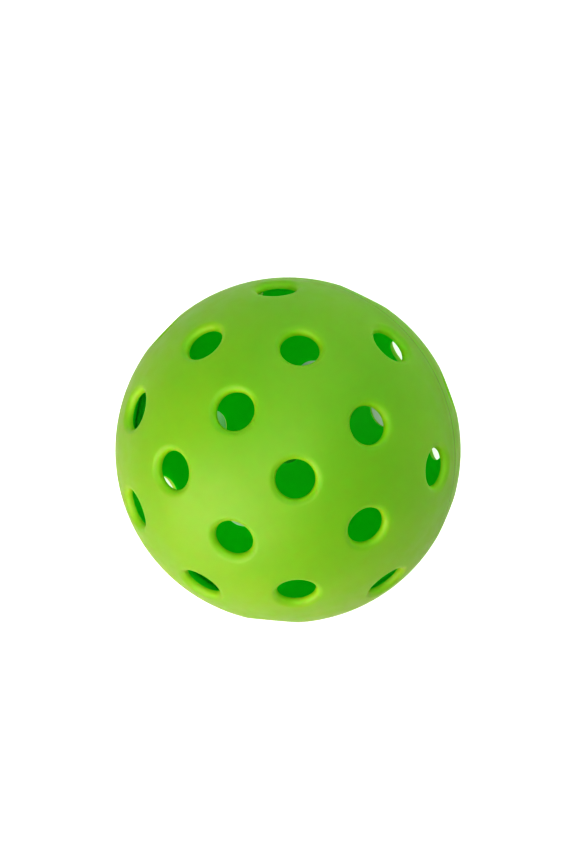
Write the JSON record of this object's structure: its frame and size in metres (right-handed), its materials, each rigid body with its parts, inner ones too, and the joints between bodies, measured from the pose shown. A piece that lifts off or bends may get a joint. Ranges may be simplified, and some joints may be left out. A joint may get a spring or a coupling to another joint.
{
  "type": "pickleball ball",
  "caption": "Hollow perforated plastic ball for outdoor pickleball: moulded half shells with round-lipped holes, welded rim to rim.",
  "frame": {"origin": "the ball's centre", "axes": "+Z along the mould axis, so the weld lies in the XY plane; +X through the middle of a hole of the ring nearest the top"},
  "size_m": [0.074, 0.074, 0.074],
  "materials": {
    "moulded_plastic": "satin lime green, slightly translucent",
    "remelted_plastic": "the same plastic, remelted: a little darker and glossier"
  },
  "bodies": {
    "root": {"upper_half_shell": "moulded_plastic", "lower_half_shell": "moulded_plastic", "weld_seam": "remelted_plastic"}
  },
  "joints": []
}
